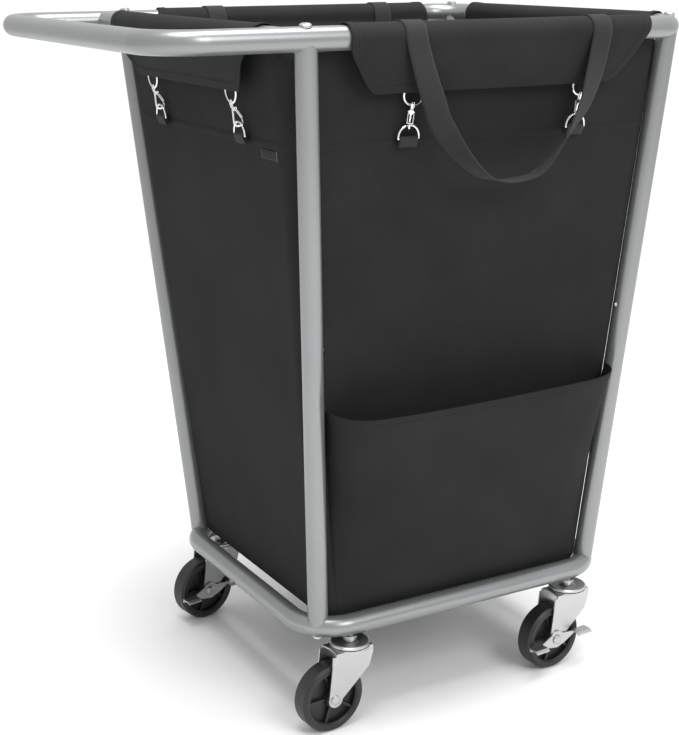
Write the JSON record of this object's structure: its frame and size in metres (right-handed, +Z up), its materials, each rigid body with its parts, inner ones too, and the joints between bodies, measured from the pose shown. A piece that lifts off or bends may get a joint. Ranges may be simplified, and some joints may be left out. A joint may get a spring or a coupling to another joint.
{
  "type": "laundry sorter on wheels",
  "caption": "Rolling laundry sorter: a tapered fabric bag hung by folded flaps in a tube frame with a push handle and swivel casters.",
  "frame": {"origin": "on the floor under the middle of the whole cart, handle included", "axes": "+X from the push handle to the far end, +Y to the side away from the pocket, +Z up"},
  "size_m": [0.676, 0.5194, 0.8095],
  "materials": {
    "frame_paint": "satin silver powder coat",
    "zinc": "bright zinc plate",
    "hook_chrome": "bright nickel plate",
    "wheel_plastic": "moulded black, satin",
    "bag_fabric": "coated black weave",
    "webbing": "ribbed dark grey webbing",
    "board": "matt black sheet"
  },
  "bodies": {
    "cart": {"top_rail": "frame_paint", "cross_tube": "frame_paint", "bottom_ring": "frame_paint", "upper_leg_1": "frame_paint", "upper_leg_2": "frame_paint", "upper_leg_3": "frame_paint", "upper_leg_4": "frame_paint", "lower_leg_1": "frame_paint", "lower_leg_2": "frame_paint", "lower_leg_3": "frame_paint", "lower_leg_4": "frame_paint", "leg_plugs": "zinc", "leg_bolts": "zinc", "snap_buttons": "zinc", "stem_nuts": "zinc", "caster_stem_1": "zinc", "caster_stem_2": "zinc", "caster_stem_3": "zinc", "caster_stem_4": "zinc", "bag_shell": "bag_fabric", "base_board": "board", "pocket": "bag_fabric", "flap_near": "bag_fabric", "flap_far": "bag_fabric", "flap_handle": "bag_fabric", "flap_end": "bag_fabric", "strap_near": "webbing", "strap_far": "webbing", "ring_tabs": "webbing", "d_rings": "hook_chrome"},
    "caster_1": {"fork_1": "zinc", "axle_1": "zinc"},
    "roller_1": {"wheel_1": "wheel_plastic"},
    "caster_2": {"fork_2": "zinc", "axle_2": "zinc"},
    "roller_2": {"wheel_2": "wheel_plastic"},
    "caster_3": {"fork_3": "zinc", "axle_3": "zinc"},
    "roller_3": {"wheel_3": "wheel_plastic"},
    "caster_4": {"fork_4": "zinc", "axle_4": "zinc"},
    "roller_4": {"wheel_4": "wheel_plastic"},
    "brake_2": {"brake_lever_2": "zinc"},
    "brake_3": {"brake_lever_3": "zinc"},
    "snap_1": {"hook_1": "hook_chrome"},
    "snap_gate_1": {"gate_1": "hook_chrome"},
    "snap_2": {"hook_2": "hook_chrome"},
    "snap_gate_2": {"gate_2": "hook_chrome"},
    "snap_3": {"hook_3": "hook_chrome"},
    "snap_gate_3": {"gate_3": "hook_chrome"},
    "snap_4": {"hook_4": "hook_chrome"},
    "snap_gate_4": {"gate_4": "hook_chrome"},
    "snap_5": {"hook_5": "hook_chrome"},
    "snap_gate_5": {"gate_5": "hook_chrome"},
    "snap_6": {"hook_6": "hook_chrome"},
    "snap_gate_6": {"gate_6": "hook_chrome"},
    "snap_7": {"hook_7": "hook_chrome"},
    "snap_gate_7": {"gate_7": "hook_chrome"},
    "snap_8": {"hook_8": "hook_chrome"},
    "snap_gate_8": {"gate_8": "hook_chrome"}
  },
  "joints": [
    {"name": "caster_1_swivel", "type": "hinge", "parent": "cart", "child": "caster_1", "pos_m": [-0.0855, -0.1776, 0.0982], "axis": [0, 0, 1], "continuous": true},
    {"name": "wheel_1_spin", "type": "hinge", "parent": "caster_1", "child": "roller_1", "pos_m": [-0.11513, -0.17967, 0.0412], "axis": [-0.0698, 0.9976, 0], "continuous": true},
    {"name": "caster_2_swivel", "type": "hinge", "parent": "cart", "child": "caster_2", "pos_m": [0.2325, -0.1776, 0.0982], "axis": [0, 0, 1], "continuous": true},
    {"name": "wheel_2_spin", "type": "hinge", "parent": "caster_2", "child": "roller_2", "pos_m": [0.20287, -0.17967, 0.0412], "axis": [-0.0698, 0.9976, 0], "continuous": true},
    {"name": "brake_2_rock", "type": "hinge", "parent": "caster_2", "child": "brake_2", "pos_m": [0.20287, -0.17967, 0.0412], "axis": [-0.0698, 0.9976, 0], "range_deg": [0, 14]},
    {"name": "caster_3_swivel", "type": "hinge", "parent": "cart", "child": "caster_3", "pos_m": [-0.0855, 0.1776, 0.0982], "axis": [0, 0, 1], "continuous": true},
    {"name": "wheel_3_spin", "type": "hinge", "parent": "caster_3", "child": "roller_3", "pos_m": [-0.11475, 0.17244, 0.0412], "axis": [-0.1736, 0.9848, 0], "continuous": true},
    {"name": "brake_3_rock", "type": "hinge", "parent": "caster_3", "child": "brake_3", "pos_m": [-0.11475, 0.17244, 0.0412], "axis": [-0.1736, 0.9848, 0], "range_deg": [0, 14]},
    {"name": "caster_4_swivel", "type": "hinge", "parent": "cart", "child": "caster_4", "pos_m": [0.2325, 0.1776, 0.0982], "axis": [0, 0, 1], "continuous": true},
    {"name": "wheel_4_spin", "type": "hinge", "parent": "caster_4", "child": "roller_4", "pos_m": [0.20302, 0.17398, 0.0412], "axis": [-0.1219, 0.9925, 0], "continuous": true},
    {"name": "hook_1_turn", "type": "hinge", "parent": "cart", "child": "snap_1", "pos_m": [-0.0365, -0.2241, 0.7217], "axis": [0, -0.3007, 0.9537], "range_deg": [-6, 6]},
    {"name": "gate_1_open", "type": "hinge", "parent": "snap_1", "child": "snap_gate_1", "pos_m": [-0.038, -0.22465, 0.71481], "axis": [0.866, -0.4769, -0.1504], "range_deg": [0, 18], "stiffness_Nm_per_rad": 0.02, "springref_deg": -11.46},
    {"name": "hook_2_turn", "type": "hinge", "parent": "cart", "child": "snap_2", "pos_m": [0.1835, -0.2241, 0.7217], "axis": [0, -0.3007, 0.9537], "range_deg": [-6, 6]},
    {"name": "gate_2_open", "type": "hinge", "parent": "snap_2", "child": "snap_gate_2", "pos_m": [0.182, -0.22465, 0.71481], "axis": [0.866, -0.4769, -0.1504], "range_deg": [0, 18], "stiffness_Nm_per_rad": 0.02, "springref_deg": -11.46},
    {"name": "hook_3_turn", "type": "hinge", "parent": "cart", "child": "snap_3", "pos_m": [-0.0365, 0.2241, 0.7217], "axis": [0, 0.3007, 0.9537], "range_deg": [-6, 6]},
    {"name": "gate_3_open", "type": "hinge", "parent": "snap_3", "child": "snap_gate_3", "pos_m": [-0.038, 0.22465, 0.71481], "axis": [-0.866, -0.4769, 0.1504], "range_deg": [0, 18], "stiffness_Nm_per_rad": 0.02, "springref_deg": -11.46},
    {"name": "hook_4_turn", "type": "hinge", "parent": "cart", "child": "snap_4", "pos_m": [0.1835, 0.2241, 0.7217], "axis": [0, 0.3007, 0.9537], "range_deg": [-6, 6]},
    {"name": "gate_4_open", "type": "hinge", "parent": "snap_4", "child": "snap_gate_4", "pos_m": [0.182, 0.22465, 0.71481], "axis": [-0.866, -0.4769, 0.1504], "range_deg": [0, 18], "stiffness_Nm_per_rad": 0.02, "springref_deg": -11.46},
    {"name": "hook_5_turn", "type": "hinge", "parent": "cart", "child": "snap_5", "pos_m": [-0.1878, 0.106, 0.7217], "axis": [-0.1045, 0, 0.9945], "range_deg": [-6, 6]},
    {"name": "gate_5_open", "type": "hinge", "parent": "snap_5", "child": "snap_gate_5", "pos_m": [-0.18469, 0.10428, 0.71559], "axis": [0.5704, 0.8192, 0.06], "range_deg": [0, 18], "stiffness_Nm_per_rad": 0.02, "springref_deg": -11.46},
    {"name": "hook_6_turn", "type": "hinge", "parent": "cart", "child": "snap_6", "pos_m": [-0.1878, -0.106, 0.7217], "axis": [-0.1045, 0, 0.9945], "range_deg": [-6, 6]},
    {"name": "gate_6_open", "type": "hinge", "parent": "snap_6", "child": "snap_gate_6", "pos_m": [-0.18469, -0.10772, 0.71559], "axis": [0.5704, 0.8192, 0.06], "range_deg": [0, 18], "stiffness_Nm_per_rad": 0.02, "springref_deg": -11.46},
    {"name": "hook_7_turn", "type": "hinge", "parent": "cart", "child": "snap_7", "pos_m": [0.314, -0.106, 0.7217], "axis": [0.1564, 0, 0.9877], "range_deg": [-6, 6]},
    {"name": "gate_7_open", "type": "hinge", "parent": "snap_7", "child": "snap_gate_7", "pos_m": [0.31556, -0.1075, 0.71497], "axis": [0.4938, 0.866, -0.0782], "range_deg": [0, 18], "stiffness_Nm_per_rad": 0.02, "springref_deg": -11.46},
    {"name": "hook_8_turn", "type": "hinge", "parent": "cart", "child": "snap_8", "pos_m": [0.314, 0.106, 0.7217], "axis": [0.1564, 0, 0.9877], "range_deg": [-6, 6]},
    {"name": "gate_8_open", "type": "hinge", "parent": "snap_8", "child": "snap_gate_8", "pos_m": [0.31556, 0.1045, 0.71497], "axis": [0.4938, 0.866, -0.0782], "range_deg": [0, 18], "stiffness_Nm_per_rad": 0.02, "springref_deg": -11.46}
  ]
}
